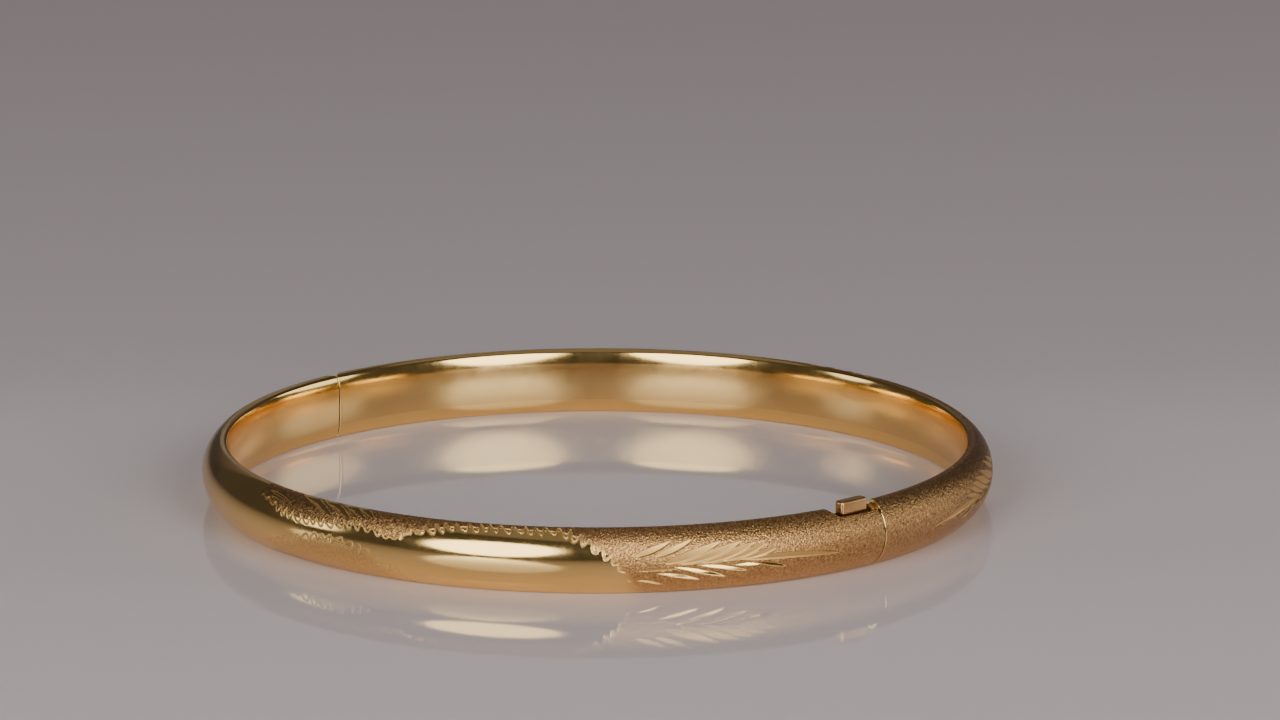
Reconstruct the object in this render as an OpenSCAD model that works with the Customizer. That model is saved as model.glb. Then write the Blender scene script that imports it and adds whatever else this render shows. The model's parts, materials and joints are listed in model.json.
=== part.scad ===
// Hinged hollow bangle: two domed tubes, a three-knuckle pin hinge and a tongue clasp.
// Origin: centre of the ring, on the plane it rests on. +Z up, hinge at -X, clasp at +X.
// The back half is +Y, the opening half is -Y. Millimetres.

/* [Ring] */
// Width of the wrist opening
inner_d = 58; // [54:1:68]
// Height of the band along the wrist
band_h = 5.2; // [4.8:0.1:6]
// Thickness of the band, inner wall to crown
band_t = 2.3; // [2.2:0.05:2.5]
// Gold sheet the tube is made from
sheet_t = 0.25; // [0.2:0.05:0.3]
// Gap between the two halves at each seam
seam_gap = 0.1; // [0.06:0.02:0.14]

/* [Hinge] */
// Outside radius of the hinge knuckles
knuckle_r = 0.72; // [0.6:0.02:0.76]
// Radius of the hinge pin
pin_r = 0.3; // [0.26:0.01:0.36]
// How far the bangle opens, in degrees
open_angle = 70; // [50:5:76]

/* [Clasp] */
// Reach of the tongue past the seam
tongue_l = 6.2; // [5.8:0.1:6.6]
// Width of the tongue across the band
tongue_w = 0.7; // [0.6:0.05:0.72]
// Length of the thumb-piece along the band
thumb_l = 2.75; // [2.4:0.05:3]
// Height the thumb-piece stands above the band
thumb_rise = 0.5; // [0.3:0.05:0.6]
// Depth of the notch filed in the edge for the thumb-piece
notch_depth = 0.65; // [0.5:0.05:0.75]

/* [Hidden] */

ring_fn = 120;
side_fn = 72;
small_fn = 32;
hinge_fn = 96;
path_fn = 960;

inner_r = inner_d / 2;
mid_z = band_h / 2;
// The tube is an oval, flatter on the wrist's side of its highest line, which is at oval_off.
// The inner wall cuts wall_cut off the oval, and the resting plane cuts land_t.
land_t = 0.02;
wall_cut = 0.19;
oval_off = 0.3 * band_t;
inner_half_t = oval_off + wall_cut;
crown_half_t = band_t - oval_off;
oval_half_h = mid_z + land_t;
edge_r = 0.2 * band_t;
inner_side_r = side_radius(inner_half_t, oval_half_h, edge_r);
crown_side_r = side_radius(crown_half_t, oval_half_h, edge_r);
wall_half_h = sqrt(pow(inner_side_r, 2) - pow(inner_side_r - wall_cut, 2));

// Hinge; the barrel is filed to the dome of the crown at its ends
pin_off = 1.21;
pin_x = -(inner_r + pin_off);
running_gap = 0.03;
pocket_gap = 0.08;
barrel_inset = 0.5;
barrel_angle = 20;
knuckle_gap = 0.04;
knuckle_h = (band_h - 2 * knuckle_gap) / 3;
block_l = 2.4;
relief_spare = 3;
relief_angle = open_angle / 2 + relief_spare;
relief_l = 4;

// Clasp; lengths along the band are measured from the seam, into the opening half
plug_l = 0.9;
collar_l = 0.42;
collar_gap = 0.08;
throat_start = 0.55;
throat_t = 0.4;
throat_gap = 0.06;
leaf_t = 0.3;
tongue_gap = 0.12;
tongue_off = sheet_t + tongue_gap + tongue_w / 2;
path_r = inner_r + tongue_off - pin_x;
fold_r = 0.26;
fold_gap = 0.03;
base_z = 1.35;
fold_z = base_z + fold_r;
leaf_gap = 0.05;
leaf_start = throat_start + throat_t + leaf_gap;
leaf_l = tongue_l - leaf_start;
leaf_end_z = 3.92;
leaf_tilt = asin((leaf_end_z - leaf_t - fold_z) / leaf_l);
ear_l = 0.7;
ear_reach = 0.22;
// The thumb-piece stands thumb_shift outside the highest line of the tube.
thumb_shift = 0.08;
thumb_off = oval_off + thumb_shift - tongue_off;
thumb_start = 0.9;
thumb_w = 0.95;
thumb_h = 1.2;
thumb_z = band_h + thumb_rise - thumb_h;
thumb_bevel = 0.18;
stem_w = 0.5;
stem_l = 0.6;
stem_lap = 0.1;
slot_gap = 0.1;
slot_drop = 0.4;
slot_z = thumb_z - slot_drop;
notch_room = 0.32;
notch_l = thumb_start + thumb_l + notch_room;
notch_slope = 0.85;
notch_z = band_h - notch_depth;

cut = 1;
eps = 0.01;
GOLD = [0.83, 0.65, 0.36];
GOLD_DARK = [0.72, 0.54, 0.28];
GOLD_PALE = [0.9, 0.75, 0.48];

// ---- Helpers ---------------------------------------------------------------

// Radius of a long side of an oval that is half_t deep on that side, with the given end radius.
function side_radius(half_t, half_h, end_r) =
    (half_t * half_t + pow(half_h - end_r, 2) - end_r * end_r) / (2 * (half_t - end_r));

// Angle at the middle of the band that spans a length along it.
function span_angle(length) = length / (inner_r + band_t / 2) * 180 / PI;

// Angle on the path of the tongue that spans a length along it.
function path_angle(length) = length / path_r * 180 / PI;

// Oval standing on end, moved in by an inset: two end arcs, and a long arc on each side.
module oval(inset = 0) {
    half_h = oval_half_h - inset;
    end_r = edge_r - inset;
    oval_side(-1, inner_half_t - inset, half_h, end_r);
    oval_side(1, crown_half_t - inset, half_h, end_r);
    for (end = [-1, 1])
        translate([0, end * (half_h - end_r)])
            circle(r = end_r, $fn = small_fn);
}

// One long side of the oval, up to where it meets the end arcs. side: -1 wrist, 1 crown.
module oval_side(side, half_t, half_h, end_r) {
    side_r = side_radius(half_t, half_h, end_r);
    join_h = (half_h - end_r) * side_r / (side_r - end_r);
    intersection() {
        translate([side * (half_t - side_r), 0])
            circle(r = side_r, $fn = side_fn);
        translate([side * (half_t - eps) / 2, 0])
            square([half_t + eps, 2 * join_h], center = true);
    }
}

// Section of the whole band: flat inner wall at x = 0, narrow lands top and bottom.
module band_section() {
    intersection() {
        translate([oval_off, mid_z])
            oval();
        square([2 * band_t, band_h]);
    }
}

module lining_section() {
    translate([0, mid_z - wall_half_h])
        square([sheet_t, 2 * wall_half_h]);
}

// Inside of the tube, reduced all round by a gap.
module hollow_section(gap = 0) {
    inset = sheet_t + gap;
    difference() {
        translate([oval_off, mid_z])
            oval(inset);
        translate([inset - cut, 0])
            square([cut, band_h]);
    }
}

module shell_section() {
    difference() {
        band_section();
        hollow_section();
        lining_section();
    }
}

// Sweeps a section round the ring between two angles.
module around(from, to) {
    rotate([0, 0, from])
        rotate_extrude(angle = to - from, $fn = ring_fn)
            translate([inner_r, 0])
                children();
}

// Sweeps a section along the path of the tongue, from one length past the seam to another.
module along_path(from, to) {
    translate([pin_x, 0, 0])
        rotate([0, 0, -path_angle(to)])
            rotate_extrude(angle = path_angle(to - from), $fn = path_fn)
                translate([path_r, 0])
                    children();
}

module on_pin(z, height, radius) {
    translate([pin_x, 0, z])
        cylinder(h = height, r = radius, $fn = hinge_fn);
}

// ---- Hinge -----------------------------------------------------------------

module pocket(index, gap) {
    on_pin(index * (knuckle_h + knuckle_gap) - knuckle_gap, knuckle_h + 2 * knuckle_gap, knuckle_r + gap);
}

// Room for the knuckles in one half: a seat for its own, a clear pocket for the others.
module knuckle_room(own, others) {
    for (index = own)
        pocket(index, 0);
    for (index = others)
        pocket(index, pocket_gap);
}

// Wedge outside the pin that one half needs so that it can swing open. side: 1 back, -1 front.
module swing_relief(side) {
    reach = [-relief_l, side * relief_l * tan(relief_angle)];
    translate([pin_x, 0, -cut])
        linear_extrude(band_h + 2 * cut)
            polygon([[0, 0], reach, [-relief_l, -side * seam_gap], [0, -side * seam_gap]]);
}

module hinge_end(side, own, others) {
    difference() {
        children();
        knuckle_room(own, others);
        swing_relief(side);
    }
}

// Envelope the hinge barrel is filed to: the crown outside, flat ends just below the edges.
module filed_barrel() {
    around(180 - barrel_angle, 180 + barrel_angle)
        intersection() {
            translate([band_t - crown_side_r, mid_z])
                circle(r = crown_side_r, $fn = side_fn);
            translate([0, barrel_inset])
                square([2 * band_t, band_h - 2 * barrel_inset]);
        }
}

module knuckle(index, bore_r) {
    difference() {
        intersection() {
            on_pin(index * (knuckle_h + knuckle_gap), knuckle_h, knuckle_r);
            filed_barrel();
        }
        on_pin(-cut, band_h + 2 * cut, bore_r);
    }
}

module hinge_block(side) {
    gap = span_angle(seam_gap / 2);
    around(side > 0 ? 180 - span_angle(block_l) : 180 + gap, side > 0 ? 180 - gap : 180 + span_angle(block_l))
        hollow_section();
}

module back_hinge_block() color(GOLD_DARK) hinge_end(1, [0, 2], [1]) hinge_block(1);
module front_hinge_block() color(GOLD_DARK) hinge_end(-1, [1], [0, 2]) hinge_block(-1);
module back_knuckle_lower() color(GOLD_PALE) knuckle(0, pin_r);
module back_knuckle_upper() color(GOLD_PALE) knuckle(2, pin_r);
module front_knuckle() color(GOLD_PALE) knuckle(1, pin_r + running_gap);

module hinge_pin() color(GOLD_DARK)
    intersection() {
        on_pin(-cut, band_h + 2 * cut, pin_r);
        filed_barrel();
    }

// ---- Clasp -----------------------------------------------------------------

// Slot along the path of the tongue, open at the top, for a piece of the given width.
module path_slot(width, bottom, length) {
    along_path(-cut, length)
        translate([thumb_off - width / 2 - slot_gap, bottom])
            square([width + 2 * slot_gap, band_h]);
}

// Notch across the whole edge, with a filed slope at its far end.
module notch() {
    translate([inner_r - cut, 0, 0])
        rotate([90, 0, 90])
            linear_extrude(band_t + 2 * cut)
                polygon([
                    [cut, notch_z], [-notch_l, notch_z],
                    [-notch_l - notch_slope, band_h + eps], [-notch_l - notch_slope, band_h + cut],
                    [cut, band_h + cut]
                ]);
}

module clasp_plug() color(GOLD_DARK) {
    around(-span_angle(collar_l), span_angle(seam_gap / 2))
        hollow_section(collar_gap);
    around(span_angle(seam_gap / 2), span_angle(plug_l))
        hollow_section();
}

// Lower leaf of the tongue, ending in the rounded fold the upper leaf springs from.
module tongue_base_leaf() color(GOLD_PALE) {
    along_path(collar_l, tongue_l)
        translate([-tongue_w / 2, base_z])
            square([tongue_w, leaf_t]);
    fold_bead(fold_r, tongue_w);
}

// Puts its children at the fold, at the tip of the tongue, with +Y along the upper leaf.
module at_fold() {
    translate([pin_x, 0, fold_z])
        rotate([0, 0, -path_angle(tongue_l)])
            translate([path_r, 0, 0])
                rotate([0, 0, path_angle(leaf_l) / 2])
                    children();
}

module fold_bead(radius, width) {
    at_fold()
        rotate([0, 90, 0])
            translate([0, 0, -width / 2])
                cylinder(h = width, r = radius, $fn = small_fn);
}

// Upper leaf: springs up from the fold towards the seam, and ends in an ear behind the catch.
module tongue_spring_leaf() color(GOLD_PALE)
    difference() {
        at_fold()
            rotate([leaf_tilt, 0, 0]) {
                translate([-tongue_w / 2, 0, 0])
                    cube([tongue_w, leaf_l, leaf_t]);
                translate([-tongue_w / 2, leaf_l - ear_l, 0])
                    cube([tongue_w + ear_reach, ear_l, leaf_t]);
            }
        fold_bead(fold_r + fold_gap, tongue_w + cut);
    }

module thumb_piece() color(GOLD_PALE) {
    thumb_block();
    thumb_stem();
}

module thumb_block() {
    side = thumb_w / 2;
    top = thumb_z + thumb_h;
    along_path(thumb_start, thumb_start + thumb_l)
        translate([thumb_off, 0])
            polygon([
                [-side, thumb_z], [side, thumb_z],
                [side, top - thumb_bevel], [side - thumb_bevel, top],
                [thumb_bevel - side, top], [-side, top - thumb_bevel]
            ]);
}

// Foot of the thumb-piece, cut off by the top of the leaf it is soldered to.
module thumb_stem() {
    difference() {
        along_path(leaf_start + eps, leaf_start + stem_l)
            translate([thumb_off - stem_w / 2, fold_z])
                square([stem_w, thumb_z + stem_lap - fold_z]);
        at_fold()
            rotate([leaf_tilt, 0, 0])
                translate([-band_t, -cut, leaf_t - band_h])
                    cube([2 * band_t, tongue_l + 2 * cut, band_h]);
    }
}

// Plate behind the collar with the throat for the tongue; its upper corners are the catch.
module throat_plate() color(GOLD_DARK)
    difference() {
        around(-span_angle(throat_start + throat_t), -span_angle(throat_start))
            hollow_section();
        along_path(0, leaf_start)
            translate([-tongue_w / 2 - throat_gap, base_z - throat_gap])
                square([tongue_w + ear_reach + 2 * throat_gap, leaf_end_z - base_z + 2 * throat_gap]);
        path_slot(stem_w, base_z, leaf_start);
        path_slot(thumb_w, slot_z, leaf_start);
        notch();
    }

// ---- Tubes -----------------------------------------------------------------

module half_ring(side) {
    gap = span_angle(seam_gap / 2);
    around(side > 0 ? gap : 180 + gap, side > 0 ? 180 - gap : 360 - gap)
        children();
}

module back_shell() color(GOLD)
    hinge_end(1, [0, 2], [1])
        half_ring(1)
            shell_section();

module back_lining() color(GOLD_PALE)
    hinge_end(1, [0, 2], [1])
        half_ring(1)
            lining_section();

module front_shell() color(GOLD)
    difference() {
        hinge_end(-1, [1], [0, 2])
            half_ring(-1)
                shell_section();
        notch();
        path_slot(thumb_w, slot_z, notch_l);
    }

module front_lining() color(GOLD_PALE)
    hinge_end(-1, [1], [0, 2])
        half_ring(-1)
            lining_section();

back_shell();
back_lining();
back_hinge_block();
back_knuckle_lower();
back_knuckle_upper();
hinge_pin();
clasp_plug();
tongue_base_leaf();
tongue_spring_leaf();
thumb_piece();
front_shell();
front_lining();
front_hinge_block();
front_knuckle();
throat_plate();
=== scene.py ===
"""Looks of the hinged bangle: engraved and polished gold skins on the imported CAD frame."""
import json
import math

import bmesh
import bpy
import numpy as np
from mathutils import Matrix, Vector


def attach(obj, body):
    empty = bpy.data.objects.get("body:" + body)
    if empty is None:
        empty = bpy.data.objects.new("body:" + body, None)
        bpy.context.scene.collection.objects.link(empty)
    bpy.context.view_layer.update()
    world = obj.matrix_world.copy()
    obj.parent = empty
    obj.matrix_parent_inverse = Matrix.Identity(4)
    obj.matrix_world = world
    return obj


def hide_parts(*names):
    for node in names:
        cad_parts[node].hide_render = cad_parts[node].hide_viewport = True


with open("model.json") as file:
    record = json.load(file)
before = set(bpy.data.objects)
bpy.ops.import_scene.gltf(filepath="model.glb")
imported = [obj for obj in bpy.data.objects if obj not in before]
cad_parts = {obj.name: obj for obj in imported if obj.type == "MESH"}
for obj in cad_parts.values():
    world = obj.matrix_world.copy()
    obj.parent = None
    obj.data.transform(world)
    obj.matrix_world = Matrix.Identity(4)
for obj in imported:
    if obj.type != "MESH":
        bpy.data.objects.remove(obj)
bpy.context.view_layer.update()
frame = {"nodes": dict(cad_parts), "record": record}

MM = 0.001

# ---- Sizes, in millimetres, as in the CAD ----------------------------------

INNER_R = 29.0
BAND_H = 5.2
BAND_T = 2.3
SHEET_T = 0.25
SEAM_GAP = 0.1
MID_Z = BAND_H / 2
CROWN_R = INNER_R + BAND_T

# Oval section: WALL_CUT is what the inner wall takes off it, LAND_T what the resting plane takes.
WALL_CUT = 0.19
LAND_T = 0.02
OVAL_OFF = 0.3 * BAND_T
INNER_HALF_T = OVAL_OFF + WALL_CUT
CROWN_HALF_T = BAND_T - OVAL_OFF
OVAL_HALF_H = MID_Z + LAND_T
EDGE_R = 0.2 * BAND_T

PIN_OFF = 1.21
PIN_X = -(INNER_R + PIN_OFF)
KNUCKLE_R = 0.72
KNUCKLE_GAP = 0.04
KNUCKLE_H = (BAND_H - 2 * KNUCKLE_GAP) / 3
POCKET_GAP = 0.08
RELIEF_ANGLE = math.radians(38)
RELIEF_L = 4.0

# Thumb-piece, its notch and its slot; lengths run from the clasp seam into the front half.
THUMB_W = 0.95
THUMB_H = 1.2
THUMB_L = 2.75
THUMB_START = 0.9
THUMB_RISE = 0.5
THUMB_Z = BAND_H + THUMB_RISE - THUMB_H
THUMB_SHIFT = 0.08
THUMB_R = INNER_R + OVAL_OFF + THUMB_SHIFT
THUMB_BEVEL = 0.3
NOTCH_DEPTH = 0.65
NOTCH_ROOM = 0.32
NOTCH_Z = BAND_H - NOTCH_DEPTH
NOTCH_L = THUMB_START + THUMB_L + NOTCH_ROOM
NOTCH_SLOPE = 0.85
SLOT_GAP = 0.1
SLOT_DROP = 0.4
SLOT_Z = THUMB_Z - SLOT_DROP
STEM_W = 0.5
STEM_L = 0.6
STEM_START = 1.01
STEM_Z = 3.55
STEM_LAP = 0.1

# How far cutters stand past what they cut.
CLEAR = 1
EPS = 0.01


# ---- Section of the band ----------------------------------------------------

def oval_side(half_t, inset):
    """Radius of one long side of the inset oval, and the angle at which it meets the end arcs."""
    half_t, half_h, end_r = half_t - inset, OVAL_HALF_H - inset, EDGE_R - inset
    radius = (half_t ** 2 + (half_h - end_r) ** 2 - end_r ** 2) / (2 * (half_t - end_r))
    return radius, math.atan2(half_h - end_r, radius - half_t)


def arc(centre, radius, start, end, count):
    """Points on an arc, in order, with both its ends."""
    angles = np.linspace(start, end, count)
    return np.stack([centre[0] + radius * np.cos(angles), centre[1] + radius * np.sin(angles)], axis=1)


def worn_wall(count=240):
    """Inner face from its middle up to the end arc: nearly flat, then rolling over without a crease."""
    side_r, join = oval_side(INNER_HALF_T, 0)
    t = np.linspace(0, 1, count)
    roll = 0.4
    lean = join * ((1 - roll) * t + roll * t ** 5)
    steps = np.stack([np.sin(lean), np.cos(lean)], axis=1)
    points = np.cumsum(steps, axis=0) - steps[0]
    reach = (OVAL_OFF - INNER_HALF_T + side_r * (1 - math.cos(join)), side_r * math.sin(join))
    return points * (np.array(reach) / points[-1])


def skin_outline(inset, per_arc=160):
    """Outside of the tube from the upper crease over the crown to the lower one, moved in by inset."""
    inner_r, inner_join = oval_side(INNER_HALF_T, inset)
    crown_r, crown_join = oval_side(CROWN_HALF_T, inset)
    end_r = EDGE_R - inset
    centre_in = (OVAL_OFF + inner_r - INNER_HALF_T + inset, MID_Z)
    centre_out = (BAND_T - inset - crown_r, MID_Z)
    top = (OVAL_OFF, MID_Z + OVAL_HALF_H - EDGE_R)
    if inset:
        crease = math.acos((centre_in[0] - inset) / inner_r)
        inner = arc(centre_in, inner_r, math.pi - crease, math.pi - inner_join, per_arc // 3)
    else:
        wall = worn_wall()
        inner = wall[wall[:, 1] >= CREASE_Z] + (0, MID_Z)
    over = arc(top, end_r, math.pi - inner_join, crown_join, per_arc)[1:]
    dome = arc(centre_out, crown_r, crown_join, 0, per_arc // 2)[1:]
    upper = np.concatenate([inner, over, dome])
    lower = upper[-2::-1] * (1, -1) + (0, BAND_H)
    points = np.concatenate([upper, lower])
    points[:, 1] = np.clip(points[:, 1], 0, BAND_H)
    return points


class Outline:
    """A section curve that can be read by its arc length."""

    def __init__(self, points):
        self.points = points
        steps = np.hypot(*np.diff(points, axis=0).T)
        self.lengths = np.concatenate([[0], np.cumsum(steps)])
        self.total = self.lengths[-1]
        tangent = np.gradient(points, self.lengths, axis=0)
        tangent /= np.linalg.norm(tangent, axis=1, keepdims=True)
        self.normals = np.stack([-tangent[:, 1], tangent[:, 0]], axis=1)

    def at(self, length):
        """Points at these lengths along the curve."""
        return np.stack([np.interp(length, self.lengths, self.points[:, k]) for k in (0, 1)], axis=1)

    def normal(self, length):
        """Unit vectors square to the curve at these lengths, pointing out of the band."""
        normal = np.stack([np.interp(length, self.lengths, self.normals[:, k]) for k in (0, 1)], axis=1)
        return normal / np.linalg.norm(normal, axis=1, keepdims=True)


# Height above the middle at which the skin takes over from the lining, on the wrist's side.
CREASE_Z = 1.5

OUTSIDE = Outline(skin_outline(0))
INSIDE = Outline(skin_outline(SHEET_T))
CROWN = OUTSIDE.total / 2


# ---- Engraving --------------------------------------------------------------
# Laid out in millimetres: x runs along the crown, both ways from the line of symmetry at
# PATTERN_CENTRE degrees, and y across the band, up from the crown.

PATTERN_CENTRE = 1.6
CROWN_MM_PER_DEG = math.radians(1) * CROWN_R

# Soft leaves of the large spray: start, end, width, bow.
LEAVES = [
    ((22.9, 0.66), (19.9, 1.82), 0.52, 0.10),
    ((21.4, 0.60), (18.2, 1.86), 0.52, 0.12),
    ((20.6, 0.02), (16.0, 1.52), 0.78, 0.16),
    ((19.4, -0.04), (14.3, 1.38), 0.80, 0.16),
    ((17.7, -0.06), (13.2, 1.20), 0.76, 0.14),
    ((16.2, 0.00), (12.3, 0.98), 0.66, 0.12),
    ((14.6, 0.04), (11.3, 0.62), 0.50, 0.08),
    ((22.6, -0.50), (18.8, -0.36), 0.24, 0.02),
    ((14.6, -0.04), (5.5, -0.60), 0.50, -0.16),
]
# Polished slivers below them, cut steeply so that the wide facet looks up.
SLIVERS = [
    ((20.7, -1.82), (22.8, -1.34), 0.26, 0.04),
    ((17.7, -1.50), (21.2, -0.76), 0.36, 0.06),
    ((15.6, -1.40), (19.9, -0.26), 0.40, 0.08),
    ((13.9, -1.00), (18.0, -0.22), 0.36, 0.08),
    ((12.9, -0.56), (15.2, -0.40), 0.30, 0.02),
]
# One narrow stroke whose facet looks over the soft boxes at the dark room.
SHADOW_CUT = ((10.5, -1.04), (13.2, -0.42), 0.3, 0.05)
# Leaf cuts of the small spray at the far end of the engraving.
SMALL_SPRAY = [
    ((53.2, 3.34), (48.7, 1.88), 0.60, -0.16),
    ((50.7, 3.36), (46.8, 1.98), 0.60, -0.14),
    ((48.6, 3.40), (45.4, 2.22), 0.56, -0.12),
    ((47.0, 3.44), (44.6, 2.36), 0.46, -0.08),
    ((57.0, 2.59), (53.8, 2.15), 0.20, -0.05),
    ((56.4, 2.14), (54.2, 1.66), 0.18, -0.04),
]
# Borders between satin and polished ground, drawn as wriggle lines: round the far lobe, then
# along the rim and down towards the clasp.
LOBE_BORDER = [
    (57.8, 2.05), (55.9, 1.74), (54.2, 1.35), (52.1, 1.15), (49.4, 1.27), (47.2, 1.50), (45.6, 1.58),
    (44.0, 1.38), (42.7, 1.06), (41.9, 1.10),
]
RIM_BORDER = [
    (41.9, 1.10), (41.2, 1.66), (39.7, 2.04), (38.1, 2.48), (36.5, 2.67), (33.2, 2.74), (28.9, 2.70),
    (27.8, 2.36), (26.8, 1.83), (25.7, 1.30), (24.9, 0.78), (24.3, 0.18), (23.8, -0.42),
    (23.3, -1.20),
]
# Below the wriggle lines the polished lobe ends without a line.
LOBE_END = [(23.0, -2.02), (22.8, -3.10), (22.7, -3.80)]
LOWER_BORDER = [
    (56.6, -1.50), (53.7, -0.90), (51.6, -0.34), (49.9, 0.00), (48.3, 0.14), (46.7, 0.00), (45.1, -0.34),
    (43.7, -1.00), (42.4, -1.77), (41.3, -2.70), (40.8, -3.60),
]
# Wriggle lines: reach is how far a scallop swings, width how wide its groove is at the widest.
FINE_WRIGGLE = {"reach": 0.34, "width": 0.14}
BOLD_WRIGGLE = {"reach": 0.42, "width": 0.24}
WRIGGLE_PERIOD = 0.92
WRIGGLE_SLOPE = 0.66
WRIGGLE_STEP = 0.012
WRIGGLE_TAPER = 2.5
CUSP_LEAN = 0.14
# Slopes of the wide facet of each kind of leaf cut.
LEAF_SLOPE = 0.34
SMALL_LEAF_SLOPE = 1.6 * LEAF_SLOPE
SLIVER_SLOPE = 0.85
SHADOW_SLOPE = 1.0
# Brightness of a cut that is left half matt; a polished one has 1.
SOFT_CUT = 0.5
# Satin ground: it ends SATIN_REACH from the crown. Below the crown its borders grow softer, and
# it is rubbed smoother from RUB_START down.
GRAIN_DEPTH = 0.022
SATIN_REACH = 3.5
SATIN_EDGE = 0.12
FAINT_SATIN = 0.45
BORDER_SOFT = 0.05
LOWER_SOFT = 0.9
FADE_OUT = 3.0
RUBBED = 0.4
RUB_START = 0.8
RUB_SPAN = 2.2
# Where the cuts stop short of the skin's edges and of the clasp seam, and how gently.
CUT_REACH = 3.95
CUT_EDGE = 0.25
SEAM_RIM = 0.14
SEAM_EDGE = 0.08
# Grid that the engraving is drawn on; FAR lies outside it.
CELL = 0.02
FAR = 9
X_RANGE = (-3.0, 60.0)
Y_RANGE = (-4.7, 4.7)


def blur_rows(field, widths):
    """Softens each row of a field along the band, by its own width."""
    for row, width in zip(field, widths):
        half = int(width / CELL / 2)
        kernel = np.hanning(2 * half + 3)[1:-1]
        padded = np.pad(row, half, mode="edge")
        row[:] = np.convolve(padded, kernel / kernel.sum(), mode="valid")


def border_line(border):
    """Even steps along a border with rounded corners: points, distances and the whole length."""
    border = np.array(border)
    steps = np.hypot(*np.diff(border, axis=0).T)
    lengths = np.concatenate([[0], np.cumsum(steps)])
    t = np.arange(0, lengths[-1], WRIGGLE_STEP)
    line = np.stack([np.interp(t, lengths, border[:, k]) for k in (0, 1)], axis=1)
    half = 20
    smooth = np.ones(2 * half + 1) / (2 * half + 1)
    for k in (0, 1):
        line[half:-half, k] = np.convolve(line[:, k], smooth, mode="valid")
    return line, t, lengths[-1]


def wriggle_line(border, side, reach):
    """Path of a graver rocked along a border, uneven as by hand, and its bite at each point."""
    line, t, length = border_line(border)
    tangent = np.gradient(line, axis=0)
    tangent /= np.linalg.norm(tangent, axis=1, keepdims=True)
    normal = np.stack([tangent[:, 1], -tangent[:, 0]], axis=1) * side
    phase = t / WRIGGLE_PERIOD + 0.12 * np.sin(1.7 * t) + 0.05 * np.sin(5.3 * t)
    scallop = np.abs(np.cos(math.pi * phase))
    swing = reach * (1 + 0.15 * np.sin(2.3 * t)) * (2 * scallop - 1)
    taper = np.clip(np.minimum(t, length - t) / WRIGGLE_TAPER, 0.25, 1)
    lean = tangent * (CUSP_LEAN * swing / reach)[:, None]
    return line + normal * (swing * taper)[:, None] + lean, 0.5 + 0.5 * scallop


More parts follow.
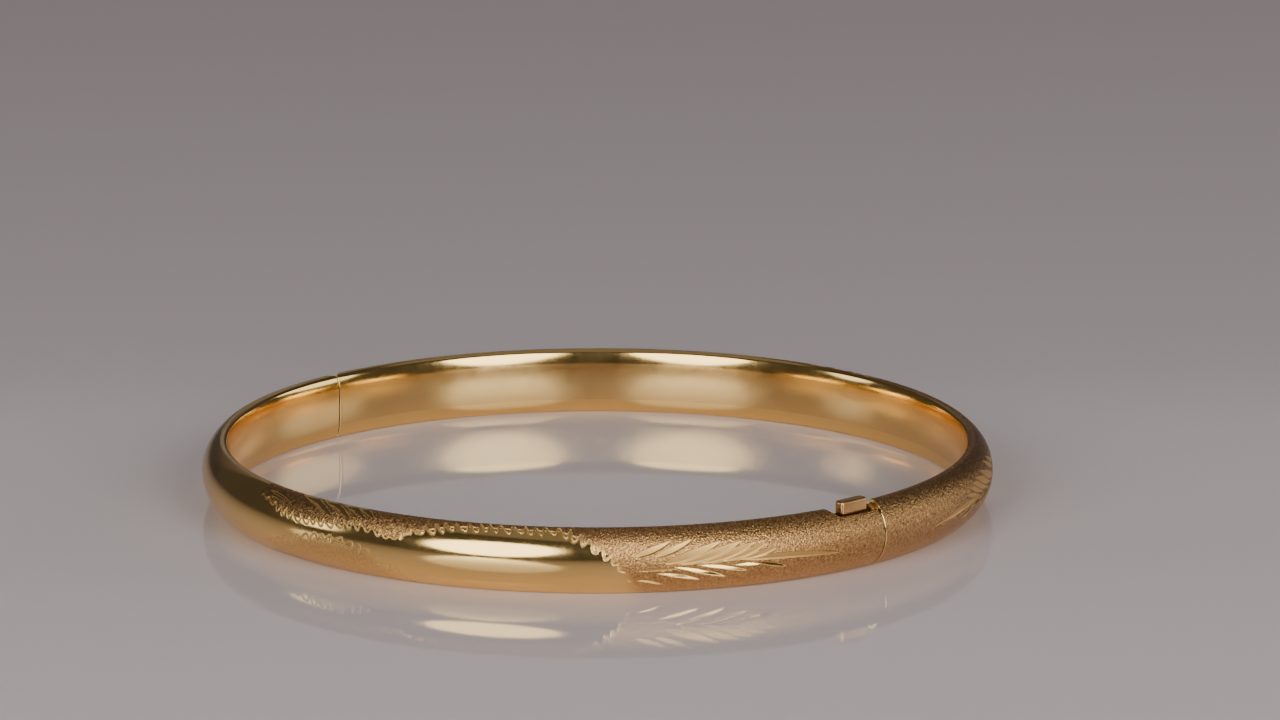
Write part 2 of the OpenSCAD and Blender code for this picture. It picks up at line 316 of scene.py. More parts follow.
class Plate:
    """Depth of cut and share of satin ground over the flattened band."""

    def __init__(self):
        self.nx = int((X_RANGE[1] - X_RANGE[0]) / CELL) + 1
        self.ny = int((Y_RANGE[1] - Y_RANGE[0]) / CELL) + 1
        self.depth = np.zeros((self.ny, self.nx))
        self.bright = np.zeros((self.ny, self.nx))
        self.xs = X_RANGE[0] + CELL * np.arange(self.nx)
        self.ys = Y_RANGE[0] + CELL * np.arange(self.ny)
        self.satin = self.satin_ground()

    def satin_ground(self):
        """Share of satin: whole above the upper borders, faint below the lower one."""
        upper = np.array(LOBE_BORDER + RIM_BORDER[1:] + LOBE_END)[::-1]
        lower = np.array(LOWER_BORDER)[::-1]
        above = np.interp(self.xs, upper[:, 0], upper[:, 1], left=-FAR, right=FAR)
        below = np.interp(self.xs, lower[:, 0], lower[:, 1], left=-FAR, right=-FAR)
        ys = self.ys[:, None]
        soft = BORDER_SOFT + LOWER_SOFT * np.clip(-ys / 2, 0, 1)
        upper_share = np.clip((ys - above) / soft, 0, 1)
        lower_share = FAINT_SATIN * np.clip((below - ys) / soft, 0, 1)
        share = np.maximum(upper_share, lower_share)
        blur_rows(share, FADE_OUT * soft[:, 0])
        rubbed = 1 - RUBBED * np.clip((-ys - RUB_START) / RUB_SPAN, 0, 1)
        fade = np.clip((SATIN_REACH - np.abs(ys)) / SATIN_EDGE, 0, 1)
        return share * rubbed * fade

    def window(self, low, high):
        """Slices of the grid that hold the box between two points."""
        i0, i1 = [int(np.clip((v - X_RANGE[0]) / CELL, 0, self.nx - 1)) for v in (low[0], high[0])]
        j0, j1 = [int(np.clip((v - Y_RANGE[0]) / CELL, 0, self.ny - 1)) for v in (low[1], high[1])]
        return slice(j0, j1 + 1), slice(i0, i1 + 1)

    def cut_leaf(self, start, end, width, bow, shine, slope):
        """One stroke of a flat graver: a long facet that falls to a steep edge, pointed at both ends."""
        start, end = np.array(start), np.array(end)
        along = end - start
        length = np.linalg.norm(along)
        along /= length
        across = np.array([-along[1], along[0]])
        margin = width + abs(bow)
        area = self.window(np.minimum(start, end) - margin, np.maximum(start, end) + margin)
        x, y = self.xs[area[1]][None, :] - start[0], self.ys[area[0]][:, None] - start[1]
        t = (x * along[0] + y * along[1]) / length
        offset = x * across[0] + y * across[1] - bow * np.sin(math.pi * np.clip(t, 0, 1))
        swell = np.sin(math.pi * np.clip(t, 0, 1) ** 0.8) ** 0.7
        half = 0.5 * width * swell + 1e-6
        n = offset / half
        bottom = 0.55
        fall = np.where(n < bottom, (n + 1) / (1 + bottom), (1 - n) / (1 - bottom))
        inside = (t > 0) & (t < 1) & (np.abs(n) < 1)
        depth = np.where(inside, slope * half * np.clip(fall, 0, 1), 0)
        self.depth[area] = np.maximum(self.depth[area], depth)
        self.bright[area] = np.maximum(self.bright[area], shine * inside)

    def cut_wriggle(self, border, side, reach, width):
        """A row of scallops along a border, rounded towards the polished side."""
        points, bite = wriggle_line(border, side, reach)
        for (px, py), amount in zip(points, bite):
            half = width / 2 * amount
            area = self.window((px - half, py - half), (px + half, py + half))
            distance = np.hypot(self.xs[area[1]][None, :] - px, self.ys[area[0]][:, None] - py)
            depth = WRIGGLE_SLOPE * np.clip(half - distance, 0, None)
            self.depth[area] = np.maximum(self.depth[area], depth)
            self.bright[area] = np.maximum(self.bright[area], SOFT_CUT * (distance < 0.9 * half))

    def roughen(self, seed):
        """Fine hammered grain of the satin ground, drawn out a little along the band."""
        rng = np.random.default_rng(seed)
        noise = rng.random((self.ny, self.nx))
        for axis, reach in ((1, 6), (0, 3)):
            kernel = np.hanning(2 * reach + 1)
            kernel /= kernel.sum()
            noise = np.apply_along_axis(np.convolve, axis, noise, kernel, mode="same")
        noise = (noise - noise.min()) / (noise.max() - noise.min())
        self.depth += GRAIN_DEPTH * noise * self.satin * (1 - self.bright)

    def read(self, field, x, y):
        """Bilinear reading of a field at points; nothing beyond the plate."""
        u = (x - X_RANGE[0]) / CELL
        v = (y - Y_RANGE[0]) / CELL
        i = np.clip(u.astype(int), 0, self.nx - 2)
        j = np.clip(v.astype(int), 0, self.ny - 2)
        a, b = np.clip(u - i, 0, 1), np.clip(v - j, 0, 1)
        top = field[j, i] * (1 - a) + field[j, i + 1] * a
        low = field[j + 1, i] * (1 - a) + field[j + 1, i + 1] * a
        inside = (x > X_RANGE[0]) & (x < X_RANGE[1])
        return np.where(inside, top * (1 - b) + low * b, 0)


def engrave(seed):
    """The whole engraving of one half; the seed sets its grain."""
    plate = Plate()
    for leaf in LEAVES:
        plate.cut_leaf(*leaf, SOFT_CUT, LEAF_SLOPE)
    for leaf in SLIVERS:
        plate.cut_leaf(*leaf, 1, SLIVER_SLOPE)
    plate.cut_leaf(*SHADOW_CUT, 1, SHADOW_SLOPE)
    for leaf in SMALL_SPRAY:
        plate.cut_leaf(*leaf, 1, SMALL_LEAF_SLOPE)
    plate.cut_wriggle(LOBE_BORDER, -1, **FINE_WRIGGLE)
    plate.cut_wriggle(RIM_BORDER, -1, **BOLD_WRIGGLE)
    plate.cut_wriggle(LOWER_BORDER, 1, **FINE_WRIGGLE)
    plate.roughen(seed)
    return plate


# ---- Meshes -----------------------------------------------------------------

def to_mesh(bm, name, scale=MM):
    """Turns a finished bmesh into a mesh, scaled to metres."""
    bmesh.ops.scale(bm, vec=(scale, scale, scale), verts=bm.verts)
    mesh = bpy.data.meshes.new(name)
    bm.to_mesh(mesh)
    bm.free()
    return mesh


def new_piece(name, mesh, body):
    """Object that rides on a body."""
    piece = bpy.data.objects.new(name, mesh)
    bpy.context.scene.collection.objects.link(piece)
    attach(piece, body)
    return piece


def wear_only(piece, material):
    """Gives every face of a piece the one material."""
    piece.data.materials.clear()
    piece.data.materials.append(material)
    piece.data.polygons.foreach_set("material_index", np.zeros(len(piece.data.polygons), dtype=np.int32))


def ring_points(phi, section):
    """Points of a section (n, 2) at each angle (m), or of one section per angle (m, n, 2)."""
    section = np.broadcast_to(section, (len(phi),) + section.shape[-2:])
    radius = INNER_R + section[..., 0]
    return np.stack([
        radius * np.cos(phi)[:, None], radius * np.sin(phi)[:, None], section[..., 1]
    ], axis=-1)


def tube_mesh(name, loops):
    """Closed tube through loops (m, n, 3) of points in millimetres, with a cap at each end."""
    m, n = loops.shape[:2]
    index = np.arange(m * n).reshape(m, n)
    across = np.roll(index, -1, axis=1)
    quads = np.stack([index[:-1], index[1:], across[1:], across[:-1]], axis=-1).reshape(-1, 4)
    faces = quads.tolist() + [index[0].tolist(), index[-1][::-1].tolist()]
    mesh = bpy.data.meshes.new(name)
    mesh.from_pydata((loops.reshape(-1, 3) * MM).tolist(), [], faces)
    mesh.update()
    return mesh


def prism(points, low, high, axis):
    """Prism on a polygon. axis 0: points are (y, z) and it runs along x; axis 2: (x, y) along z."""
    bm = bmesh.new()
    place = (lambda p, h: (h, p[0], p[1])) if axis == 0 else (lambda p, h: (p[0], p[1], h))
    face = bm.faces.new([bm.verts.new(place(p, low)) for p in points])
    made = bmesh.ops.extrude_face_region(bm, geom=[face])
    verts = [v for v in made["geom"] if isinstance(v, bmesh.types.BMVert)]
    step = (high - low, 0, 0) if axis == 0 else (0, 0, high - low)
    bmesh.ops.translate(bm, vec=step, verts=verts)
    bmesh.ops.recalc_face_normals(bm, faces=bm.faces)
    return bm


def pin_cylinder(low, high, radius, segments=64):
    """Cylinder round the axis of the hinge pin."""
    bm = bmesh.new()
    bmesh.ops.create_cone(
        bm, cap_ends=True, segments=segments, radius1=radius, radius2=radius, depth=high - low,
        matrix=Matrix.Translation((PIN_X, 0, (low + high) / 2)))
    return bm


def about_pin(radius, angle):
    """Plan point at a radius from the hinge pin; angle 0 points at the clasp seam."""
    return PIN_X + radius * math.cos(angle), radius * math.sin(angle)


def path_sector(length, low_r, high_r, low_z, high_z, steps=24):
    """Sector about the hinge pin, from just past the clasp seam to a length into the front half."""
    angles = np.linspace(CLEAR / (high_r - PIN_X), -length / (high_r - PIN_X), steps)
    inner = [about_pin(low_r - PIN_X, angle) for angle in angles]
    outer = [about_pin(high_r - PIN_X, angle) for angle in angles]
    return prism(inner + outer[::-1], low_z, high_z, axis=2)


def cut_away(piece, cutters):
    """Subtracts each cutter from the piece, and keeps the result as its mesh."""
    made = []
    for k, bm in enumerate(cutters):
        mesh = to_mesh(bm, f"{piece.name}_cutter_{k}")
        cutter = bpy.data.objects.new(mesh.name, mesh)
        bpy.context.scene.collection.objects.link(cutter)
        modifier = piece.modifiers.new(mesh.name, "BOOLEAN")
        modifier.operation = "DIFFERENCE"
        modifier.solver = "MANIFOLD"
        modifier.object = cutter
        made.append(cutter)
    graph = bpy.context.evaluated_depsgraph_get()
    result = bpy.data.meshes.new_from_object(piece.evaluated_get(graph))
    old = piece.data
    piece.modifiers.clear()
    piece.data = result
    bpy.data.meshes.remove(old)
    for cutter in made:
        mesh = cutter.data
        bpy.data.objects.remove(cutter)
        bpy.data.meshes.remove(mesh)


def swing_relief(side):
    """Wedge outside the hinge pin that one half leaves free for the other. side: 1 back, -1 front."""
    outer_x = PIN_X - RELIEF_L
    points = [
        (PIN_X, 0), (outer_x, side * RELIEF_L * math.tan(RELIEF_ANGLE)),
        (outer_x, -side * SEAM_GAP), (PIN_X, -side * SEAM_GAP)
    ]
    return prism(points, -CLEAR, BAND_H + CLEAR, axis=2)


def knuckle_room(index, gap_z, gap_r):
    """Space of one knuckle, counted from the lowest, made larger by the two gaps."""
    low = index * (KNUCKLE_H + KNUCKLE_GAP)
    return pin_cylinder(low - gap_z, low + KNUCKLE_H + gap_z, KNUCKLE_R + gap_r)


def hinge_cutters(side, own, others):
    """Seats for a half's own knuckles, clear pockets for the other half's, and the swing relief."""
    seats = [knuckle_room(index, 0, 0) for index in own]
    pockets = [knuckle_room(index, KNUCKLE_GAP, POCKET_GAP) for index in others]
    return seats + pockets + [swing_relief(side)]


def notch_cutters():
    """The notch across the upper edge, and the slot below it that the thumb-piece sinks into."""
    top = BAND_H + CLEAR
    slope_end = -NOTCH_L - NOTCH_SLOPE
    profile = [
        (CLEAR, NOTCH_Z), (-NOTCH_L, NOTCH_Z), (slope_end, BAND_H + EPS), (slope_end, top), (CLEAR, top)
    ]
    half = THUMB_W / 2 + SLOT_GAP
    return [
        prism(profile, INNER_R - CLEAR, CROWN_R + CLEAR, axis=0),
        path_sector(NOTCH_L, THUMB_R - half, THUMB_R + half, SLOT_Z, top)
    ]


def half_span(side):
    """First and last angle of one half of the ring, from the clasp seam to the hinge seam."""
    gap = SEAM_GAP / 2 / (INNER_R + BAND_T / 2)
    return side * gap, side * (math.pi - gap)


def finish_smooth(mesh, angle):
    """Shades a mesh smooth, but keeps edges sharper than the angle in degrees."""
    mesh.polygons.foreach_set("use_smooth", np.ones(len(mesh.polygons), dtype=bool))
    mesh.set_sharp_from_angle(angle=math.radians(angle))


def skin_rows(side, fine_count=860, plain_count=90):
    """Angles of the skin's rows: close together over the engraving, wider on the plain part."""
    start, end = half_span(side)
    engraved_to = side * math.radians(109.5)
    edge = side * np.array([0, 0.03, 0.07, 0.12, 0.2, 0.3]) / CROWN_R
    fine = np.linspace(start + edge[-1], engraved_to, fine_count)
    plain = np.linspace(engraved_to, end - edge[-1], plain_count)
    return np.concatenate([start + edge[:-1], fine, plain[1:], (end - edge[:-1])[::-1]])


def skin_columns(fine_count=180, edge_count=10):
    """Lengths across the skin of its columns: close together over the engraving."""
    engraved = 3.8
    fine = np.linspace(CROWN - engraved, CROWN + engraved, fine_count)
    edge = np.linspace(0, CROWN - engraved, edge_count)[:-1]
    return np.concatenate([edge, fine, OUTSIDE.total - edge[::-1]])


def from_seam(phi):
    """Distance along the crown from the clasp seam."""
    return np.abs(phi) * CROWN_R


def pattern_x(phi):
    """Distance along the crown from the engraving's line of symmetry."""
    return np.abs(np.degrees(phi) - PATTERN_CENTRE) * CROWN_MM_PER_DEG


def rounded_ends(phi, side):
    """Depth of the small polished rounding at both ends of a half."""
    start, end = half_span(side)
    near = np.minimum(np.abs(phi - start), np.abs(phi - end)) * CROWN_R
    reach, depth = 0.09, 0.028
    return depth * np.clip(1 - near / reach, 0, 1) ** 2


def skin_mesh(name, side, plate, inside_count=20):
    """Closed half tube of sheet, with the engraving cut into its outside."""
    phi = skin_rows(side)
    length = skin_columns()
    x, y = np.meshgrid(pattern_x(phi), CROWN - length, indexing="ij")
    depth = plate.read(plate.depth, x, y)
    off_edge = np.clip((CUT_REACH - np.abs(y)) / CUT_EDGE, 0, 1)
    off_seam = np.clip((from_seam(phi) - SEAM_RIM) / SEAM_EDGE, 0, 1)[:, None]
    depth = depth * off_edge * off_seam + rounded_ends(phi, side)[:, None]
    outside = OUTSIDE.at(length)[None] - depth[..., None] * OUTSIDE.normal(length)[None]
    inside = INSIDE.at(np.linspace(0, INSIDE.total, inside_count))[::-1]
    inside = np.broadcast_to(inside, (len(phi), inside_count, 2))
    section = np.concatenate([outside, inside], axis=1)
    loops = ring_points(phi, section)
    if side > 0:
        loops = loops[:, ::-1]
    return tube_mesh(name, loops)


def paint_masks(mesh, side, plate):
    """Stores the satin, the bright cuts and the place on the band on each point, for the material.

    The inside of the sheet and a narrow rim along the clasp seam stay polished.
    """
    count = len(mesh.vertices)
    co = np.empty(count * 3)
    mesh.vertices.foreach_get("co", co)
    co = co.reshape(-1, 3) / MM
    phi = np.arctan2(co[:, 1], co[:, 0])
    off = np.hypot(co[:, 0], co[:, 1]) - INNER_R - OVAL_OFF
    height = co[:, 2] - MID_Z
    turn = np.arctan2(height, off)
    table = np.arctan2(OUTSIDE.points[:, 1] - MID_Z, OUTSIDE.points[:, 0] - OVAL_OFF)
    length = np.interp(-turn, -table, OUTSIDE.lengths)
    below_skin = np.hypot(*(OUTSIDE.at(length) - (OVAL_OFF, MID_Z)).T) - np.hypot(off, height)
    x, y = pattern_x(phi), CROWN - length
    marked = (below_skin < 0.16) * np.clip((from_seam(phi) - 0.12) / 0.05, 0, 1)
    layers = {
        "satin": plate.read(plate.satin, x, y) * marked,
        "bright": plate.read(plate.bright, x, y) * marked,
        "along": phi * CROWN_R,
        "across": y,
    }
    for label, value in layers.items():
        layer = mesh.attributes.new(label, "FLOAT", "POINT")
        layer.data.foreach_set("value", value.astype(np.float32))


def frame_slot(node):
    """The material slot that the record gives a node."""
    return next(p["material_slot"] for p in frame["record"]["subparts"] if p["node"] == node)


def make_skin(name, node, body, side, plate, cutters, material):
    """Engraved outer skin of one half, in place of its shell."""
    piece = new_piece(name, skin_mesh(name, side, plate), body)
    cut_away(piece, cutters)
    paint_masks(piece.data, side, plate)
    finish_smooth(piece.data, 48)
    wear_only(piece, material)
    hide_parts(node)


# ---- Materials --------------------------------------------------------------

class Nodes:
    """A small helper that builds one node material."""

    def __init__(self, name):
        self.material = bpy.data.materials.new(name)
        self.material.use_nodes = True
        self.tree = self.material.node_tree
        self.shader = self.tree.nodes["Principled BSDF"]
        self.coords = self.tree.nodes.new("ShaderNodeTexCoord").outputs["Object"]

    def node(self, kind, links=None, **values):
        """New node with its properties set, and each input linked to a socket or given a value."""
        node = self.tree.nodes.new(kind)
        for key, value in values.items():
            setattr(node, key, value)
        for socket, source in (links or {}).items():
            if isinstance(source, bpy.types.NodeSocket):
                self.tree.links.new(source, node.inputs[socket])
            else:
                node.inputs[socket].default_value = source
        return node

    def stretched(self, scale):
        """Object coordinates scaled by a different amount along each axis."""
        return self.node("ShaderNodeMapping", {"Vector": self.coords, "Scale": scale}).outputs[0]

    def noise(self, scale, detail=3.0, roughness=0.5, vector=None):
        vector = vector or self.coords
        links = {"Vector": vector, "Scale": scale, "Detail": detail, "Roughness": roughness}
        return self.node("ShaderNodeTexNoise", links).outputs["Fac"]

    def ramp(self, source, low, high):
        """Straight line through two pairs of value and result, clamped at both."""
        links = {
            "Value": source, "From Min": low[0], "From Max": high[0],
            "To Min": low[1], "To Max": high[1],
        }
        return self.node("ShaderNodeMapRange", links).outputs["Result"]

    def mix(self, factor, a, b):
        """Colour between a and b."""
        node = self.node("ShaderNodeMix", data_type="RGBA")
        for socket, source in (("Factor", factor), ("A", a), ("B", b)):
            target = next(s for s in node.inputs if s.name == socket and s.enabled)
            if isinstance(source, bpy.types.NodeSocket):
                self.tree.links.new(source, target)
            else:
                target.default_value = (*source, 1)
        return next(s for s in node.outputs if s.enabled)

    def math(self, operation, a, b):
        return self.node("ShaderNodeMath", {0: a, 1: b}, operation=operation).outputs[0]

    def bump(self, height, distance, strength=1.0):
        links = {"Height": height, "Distance": distance, "Strength": strength}
        return self.node("ShaderNodeBump", links).outputs["Normal"]

    def attribute(self, name):
        return self.node("ShaderNodeAttribute", attribute_name=name).outputs["Fac"]

    def set(self, **sockets):
        """Links or sets the shader's inputs, named with underscores for spaces."""
        for key, source in sockets.items():
            name = key.replace("_", " ")
            if isinstance(source, bpy.types.NodeSocket):
                self.tree.links.new(source, self.shader.inputs[name])
            else:
                self.shader.inputs[name].default_value = source


GOLD = (0.93, 0.645, 0.25)
GOLD_DEEP = (0.86, 0.565, 0.19)
GOLD_PALE = (0.98, 0.72, 0.35)
# Colour of the half-matt cuts: their matt finish is real, their darker gold is painted shade.
SOFT_CUT_SHADED_GOLD = (0.81, 0.48, 0.165)
# Satin ground colours: the grain's specks are real texture, but their dark brown and the low colour of
# the whole satin are painted shade.
SATIN_PAINTED_SHADE = (0.20, 0.085, 0.03)
SATIN_LIGHT = (0.86, 0.50, 0.20)


def polished_gold(name, deep=GOLD_DEEP, light=GOLD, base_roughness=0.09):
    """Polished gold with faint handling marks and slow changes of colour."""
    n = Nodes(name)
    colour = n.mix(n.noise(160, 2), deep, light)
    marks = n.noise(9000, 4, 0.6, n.stretched((1, 1, 5)))
    roughness = n.ramp(n.noise(700, 5, 0.65), (0.3, base_roughness - 0.03), (0.75, base_roughness + 0.07))
    n.set(Base_Color=colour, Metallic=1.0, Roughness=roughness, Normal=n.bump(marks, 0.000002, 0.5))
    return n.material


def slanted_streaks(n):
    """Short streaks at a slant across the band, as a satin brush leaves them."""
    place = {"X": n.attribute("along"), "Y": n.attribute("across")}
    surface = n.node("ShaderNodeCombineXYZ", place).outputs[0]
    slant = {"Vector": surface, "Angle": math.radians(35)}
    turned = n.node("ShaderNodeVectorRotate", slant).outputs[0]
    drawn_out = n.node("ShaderNodeMapping", {"Vector": turned, "Scale": (11, 3.2, 1)}).outputs[0]
    return n.noise(1.0, 4, 0.65, drawn_out)


def engraved_gold(name):
    """Polished gold with satin grounds and bright-cut facets where the masks say."""
    n = Nodes(name)
    satin, bright = n.attribute("satin"), n.attribute("bright")
    ground = n.math("SUBTRACT", satin, n.ramp(bright, (0, 0), (0.4, 1)))
    ground = n.node("ShaderNodeClamp", {"Value": ground}).outputs[0]
    streaks = slanted_streaks(n)
    specks = n.noise(9000, 3, 0.6)
    flecks = n.math("ADD", n.math("MULTIPLY", streaks, 0.6), n.math("MULTIPLY", specks, 0.4))
    polished = n.mix(n.noise(160, 2), GOLD_DEEP, GOLD)
    # Satin colour: grain specks in painted shade, darker than the polished gold.
    satin_colour = n.mix(n.ramp(flecks, (0.4, 0), (0.6, 1)), SATIN_PAINTED_SHADE, SATIN_LIGHT)
    # Half-matt cuts take a darker gold, painted shade on the cuts, and grow rougher.
    in_cut = n.ramp(bright, (0.1, 0), (0.4, 1))
    softness = n.math("MULTIPLY", n.ramp(bright, (SOFT_CUT, 1), (0.9, 0)), in_cut)
    polished = n.mix(softness, polished, SOFT_CUT_SHADED_GOLD)
    colour = n.mix(ground, polished, satin_colour)
    plain = n.ramp(n.noise(700, 5, 0.65), (0.3, 0.09), (0.75, 0.17))
    plain = n.math("ADD", plain, n.math("MULTIPLY", softness, 0.24))
    rough = n.ramp(n.noise(2600, 4, 0.6), (0.3, 0.2), (0.7, 0.3))
    roughness = n.math("ADD", n.math("MULTIPLY", ground, n.math("SUBTRACT", rough, plain)), plain)
    pits = n.node("ShaderNodeTexVoronoi", {"Vector": n.coords, "Scale": 6500.0}).outputs["Distance"]
    height = n.math("MULTIPLY", n.math("ADD", flecks, n.math("MULTIPLY", pits, 0.5)), ground)
    height = n.math("ADD", height, n.math("MULTIPLY", n.math("MULTIPLY", streaks, 0.35), softness))
    n.set(Base_Color=colour, Metallic=1.0, Roughness=roughness, Normal=n.bump(height, 0.00006, 1.0))
    return n.material


def drawn_gold(name, deep, light, roughness, line_scale):
    """Gold with fine lines left by drawing or filing, along the band."""
    n = Nodes(name)
    lines = n.noise(line_scale, 4, 0.6, n.stretched((0.12, 0.12, 6)))
    colour = n.mix(n.noise(220, 3), deep, light)
    spread = n.ramp(n.noise(1500, 4, 0.6), (0.3, roughness - 0.05), (0.7, roughness + 0.08))
    n.set(Base_Color=colour, Metallic=1.0, Roughness=spread, Normal=n.bump(lines, 0.000006, 0.6))
    return n.material


def glossy_sheet(name, colour):
    """Plain laminated sheet, smooth enough to mirror the bangle."""
    n = Nodes(name)
    tint = n.mix(n.noise(3, 2), colour, tuple(0.97 * c for c in colour))
    n.set(Base_Color=tint, Roughness=n.ramp(n.noise(40, 3), (0.3, 0.035), (0.7, 0.05)))
    return n.material


# ---- Pieces -----------------------------------------------------------------

def lining_face():
    """Section of the inner wall's face between the two creases, from the lower one up."""
    wall = worn_wall()
    wall = wall[wall[:, 1] <= CREASE_Z][::8]
    wall = np.concatenate([wall, [OUTSIDE.points[0] - (0, MID_Z)]])
    return np.concatenate([wall[:0:-1] * (1, -1), wall]) + (0, MID_Z)


def lining_mesh(name, side, middle_count=180):
    """Closed strip of sheet whose face is rounded off at both ends."""
    start, end = half_span(side)
    edge = side * np.array([0, 0.03, 0.08, 0.15]) / INNER_R
    middle = np.linspace(start + 2 * edge[-1], end - 2 * edge[-1], middle_count)
    phi = np.concatenate([start + edge, middle, (end - edge)[::-1]])
    face = lining_face()
    back = np.stack([np.full(2, SHEET_T), face[[-1, 0], 1]], axis=1)
    sections = np.repeat(np.concatenate([face, back])[None], len(phi), axis=0)
    near = np.minimum(np.abs(phi - start), np.abs(phi - end)) * INNER_R
    reach, depth = 0.14, 0.05
    sections[:, :len(face), 0] += (depth * np.clip(1 - near / reach, 0, 1) ** 2)[:, None]
    loops = ring_points(phi, sections)
    if side < 0:
        loops = loops[:, ::-1]
    return tube_mesh(name, loops)


def make_lining(name, node, body, side, cutters, material):
    """Inner wall of one half, in place of its lining."""
    piece = new_piece(name, lining_mesh(name, side), body)
    cut_away(piece, cutters)
    finish_smooth(piece.data, 35)
    wear_only(piece, material)
    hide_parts(node)


def thumb_bar(steps=10):
    """Square bar that follows the clasp's path about the hinge pin."""
    bm = bmesh.new()
    radius, half = THUMB_R - PIN_X, THUMB_W / 2
    low, high = THUMB_Z, THUMB_Z + THUMB_H
    corners = ((-half, low), (half, low), (half, high), (-half, high))
    rings = []
    for k in range(steps + 1):
        angle = -(THUMB_START + THUMB_L * k / steps) / radius
        rings.append([bm.verts.new((*about_pin(radius + dx, angle), z)) for dx, z in corners])
    for a, b in zip(rings, rings[1:]):
        for k in range(4):
            bm.faces.new((a[k], a[(k + 1) % 4], b[(k + 1) % 4], b[k]))
    bm.faces.new(rings[0][::-1])
    bm.faces.new(rings[-1])
    bmesh.ops.recalc_face_normals(bm, faces=bm.faces)
    return bm


def thumb_stem():
    """Foot of the thumb-piece, down to the leaf it is soldered to."""
    radius = THUMB_R - PIN_X
    corners = []
    for length, dx in ((0, -STEM_W / 2), (0, STEM_W / 2), (STEM_L, STEM_W / 2), (STEM_L, -STEM_W / 2)):
        corners.append(about_pin(radius + dx, -(STEM_START + length) / radius))
    return prism(corners, STEM_Z, THUMB_Z + STEM_LAP, axis=2)


def make_thumb_piece(material):
    """Rounded push-piece on its stem, in place of the CAD's bevelled one."""
    for name, bm in (("thumb_block", thumb_bar()), ("thumb_stem", thumb_stem())):
        piece = new_piece(name, to_mesh(bm, name), "clasp_leaf")
        wear_only(piece, material)
        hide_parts("thumb_piece")
    block = bpy.data.objects["thumb_block"]
    bevel = block.modifiers.new("bevel", "BEVEL")
    bevel.width = THUMB_BEVEL * MM
    bevel.segments = 6
    bevel.limit_method = "ANGLE"
    finish_smooth(block.data, 40)


def dress_frame_nodes():
    """Gives the CAD pieces that stay their own finishes."""
    finishes = {
        "hinge_gold": drawn_gold("hinge_gold", GOLD_DEEP, GOLD, 0.22, 5000.0),
        "solder_gold": drawn_gold("solder_gold", (0.24, 0.14, 0.065), (0.42, 0.27, 0.125), 0.4, 4200.0),
        "spring_gold": drawn_gold("spring_gold", GOLD_DEEP, GOLD_PALE, 0.24, 6500.0),
    }
    for name, node in frame["nodes"].items():
        finish = finishes.get(frame_slot(name))
        if finish:
            for slot in node.material_slots:
                slot.material = finish


# ---- Stage ------------------------------------------------------------------

IMAGE_W, IMAGE_H = 1280, 720
SENSOR_W = 36
CAMERA_AZIMUTH = 44.4
CAMERA_ELEVATION = 13.93
CAMERA_DISTANCE = 1.076
CAMERA_LENS = 382.3
FRAME_CENTRE = (596.2, 467.5)


def direction(azimuth, elevation):
    """Unit vector towards a place at an azimuth and elevation in degrees; azimuth 0 is at -Y."""
    turn, lift = math.radians(azimuth), math.radians(elevation)
    return Vector((math.sin(turn) * math.cos(lift), -math.cos(turn) * math.cos(lift), math.sin(lift)))


def sheet_object(name, rows, material):
    """Smooth sheet through rows of points."""
    bm = bmesh.new()
    turn = Matrix.Rotation(math.radians(CAMERA_AZIMUTH), 4, "Z")
    rows = [[bm.verts.new(turn @ Vector(point)) for point in row] for row in rows]
    for a, b in zip(rows, rows[1:]):
        for k in range(len(a) - 1):
            bm.faces.new((a[k], a[k + 1], b[k + 1], b[k]))
    sheet = bpy.data.objects.new(name, to_mesh(bm, name, scale=1))
    bpy.context.scene.collection.objects.link(sheet)
    finish_smooth(sheet.data, 60)
    sheet.data.materials.append(material)


BACKDROP_Y = 1.76
BACKDROP_LIFT = 0.001
BACKDROP_CURVE_R = 0.6
BACKDROP_TOP = 2.6
BACKDROP_HALF_W = 1.54


def make_stage():
    """Pale table top, and a paper backdrop that curves up behind it, in metres."""
    table = [[(x, y, 0) for x in (-1.8, 1.8)] for y in (-1.6, 2.4)]
    sheet_object("table_top", table, glossy_sheet("table_top", (0.79, 0.69, 0.71)))
    profile = []
    for angle in np.radians(np.linspace(0, 90, 13)):
        rise = BACKDROP_CURVE_R * (1 - math.cos(angle))
        profile.append((BACKDROP_Y + BACKDROP_CURVE_R * math.sin(angle), BACKDROP_LIFT + rise))
    profile.append((BACKDROP_Y + BACKDROP_CURVE_R, BACKDROP_TOP))
    rows = [[(x, y, z) for x in (-BACKDROP_HALF_W, BACKDROP_HALF_W)] for y, z in profile]
    sheet_object("backdrop", rows, glossy_sheet("backdrop", (0.52, 0.49, 0.50)))


def area_light(name, azimuth, elevation, distance, size, power, colour, shape="ELLIPSE", facing=1):
    """Soft light aimed at the bangle, or away from it. azimuth is in degrees from the camera's."""
    data = bpy.data.lights.new(name, "AREA")
    data.shape = shape
    data.size, data.size_y = size
    data.energy = power
    data.color = colour
    light = bpy.data.objects.new(name, data)
    away = direction(CAMERA_AZIMUTH + azimuth, elevation)
    light.location = away * distance
    light.rotation_euler = (away * facing).to_track_quat("Z", "Y").to_euler()
    light.visible_camera = False
    bpy.context.scene.collection.objects.link(light)


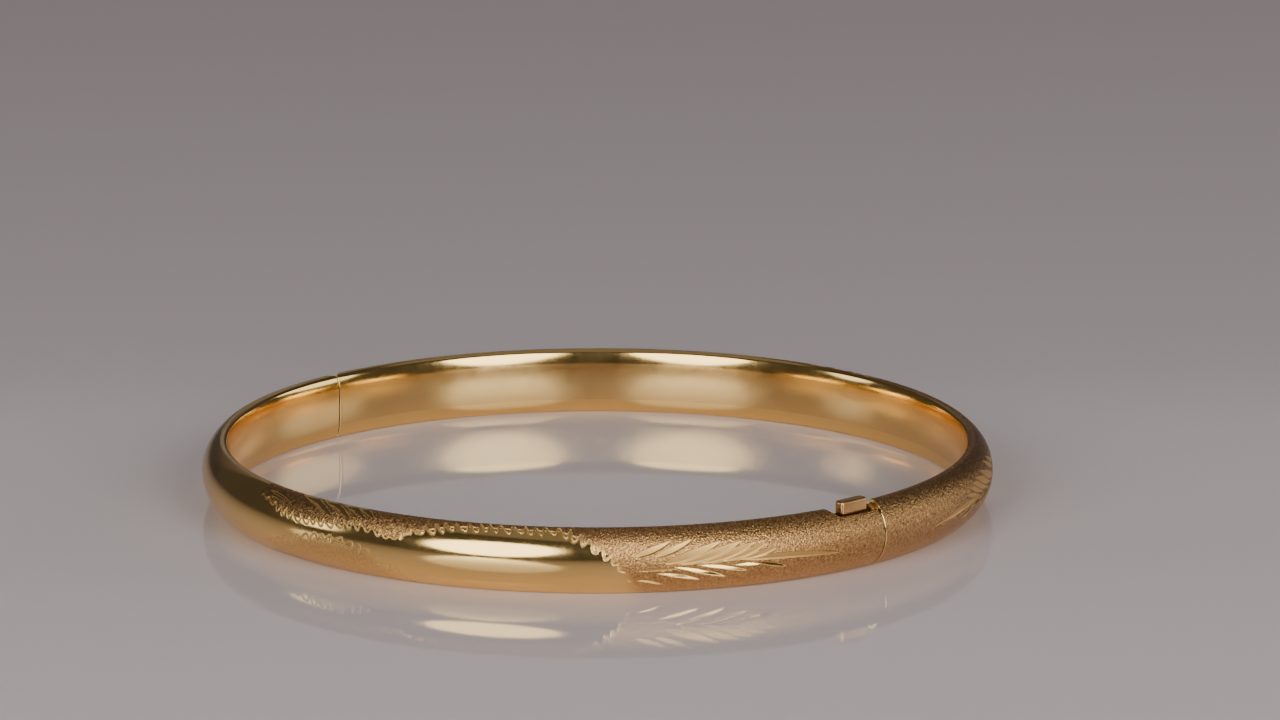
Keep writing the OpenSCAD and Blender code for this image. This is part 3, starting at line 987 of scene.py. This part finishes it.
def make_camera():
    """Camera at the photograph's angle, turned so that the ring's centre falls at FRAME_CENTRE."""
    data = bpy.data.cameras.new("camera")
    data.lens = CAMERA_LENS
    data.sensor_width = SENSOR_W
    data.clip_start = 0.05
    camera = bpy.data.objects.new("camera", data)
    back = direction(CAMERA_AZIMUTH, CAMERA_ELEVATION)
    target = Vector((0, 0, MID_Z * MM))
    camera.location = target + back * CAMERA_DISTANCE
    focal = CAMERA_LENS / SENSOR_W * IMAGE_W
    across = math.atan((FRAME_CENTRE[0] - IMAGE_W / 2) / focal)
    down = math.atan((FRAME_CENTRE[1] - IMAGE_H / 2) / focal)
    aim = back.to_track_quat("Z", "Y").to_matrix()
    aim = Matrix.Rotation(across, 3, "Z") @ aim @ Matrix.Rotation(down, 3, "X")
    camera.rotation_euler = aim.to_euler()
    bpy.context.scene.collection.objects.link(camera)
    bpy.context.scene.camera = camera


def make_world():
    """Dim, slightly warm room around the table."""
    world = bpy.data.worlds.new("studio")
    world.use_nodes = True
    shade = world.node_tree.nodes["Background"]
    shade.inputs["Color"].default_value = (1.0, 0.93, 0.92, 1)
    shade.inputs["Strength"].default_value = 0.062
    bpy.context.scene.world = world


def light_stage():
    """Two soft boxes on the camera's side, a strip light at each side and a wash from behind."""
    make_world()
    warm, neutral = (1.0, 1.0, 0.96), (1.0, 0.96, 0.97)
    area_light("softbox_left", -31, 22, 0.62, (0.42, 0.42), 2.2, warm)
    area_light("softbox_right", 32, 22, 0.62, (0.42, 0.42), 2.2, warm)
    area_light("strip_left", -89, 14, 0.8, (0.26, 0.22), 0.32, warm)
    area_light("strip_right", 103, 14, 0.8, (0.56, 0.26), 0.8, warm)
    area_light("backdrop_wash", 180, 62, 1.4, (2.1, 0.88), 25, neutral, "RECTANGLE", facing=-1)
    area_light("overhead", 0, 90, 1.1, (1.4, 1.4), 1.0, neutral, "RECTANGLE")


# ---- Build ------------------------------------------------------------------

make_camera()
light_stage()
make_stage()

ENGRAVED = engraved_gold("engraved_gold")
# The inner wall's gold is painted darker than the skin's: painted shade on the inside of the ring; its
# rougher polish is real.
LINING_SHADED_GOLD = polished_gold("lining_gold", (0.74, 0.47, 0.16), (0.82, 0.56, 0.24), 0.2)
# The thumb-piece's brushing is real, but its brown, darker gold is painted shade.
BRUSHED_SHADED_GOLD = drawn_gold("brushed_gold", (0.52, 0.28, 0.11), (0.76, 0.45, 0.19), 0.3, 5200.0)

make_skin("front_skin", "front_shell", "front_half", -1, engrave(7),
          hinge_cutters(-1, [1], [0, 2]) + notch_cutters(), ENGRAVED)
make_skin("back_skin", "back_shell", "back_half", 1, engrave(11),
          hinge_cutters(1, [0, 2], [1]), ENGRAVED)
make_lining("front_inner_wall", "front_lining", "front_half", -1, hinge_cutters(-1, [1], [0, 2]), LINING_SHADED_GOLD)
make_lining("back_inner_wall", "back_lining", "back_half", 1, hinge_cutters(1, [0, 2], [1]), LINING_SHADED_GOLD)
make_thumb_piece(BRUSHED_SHADED_GOLD)
dress_frame_nodes()
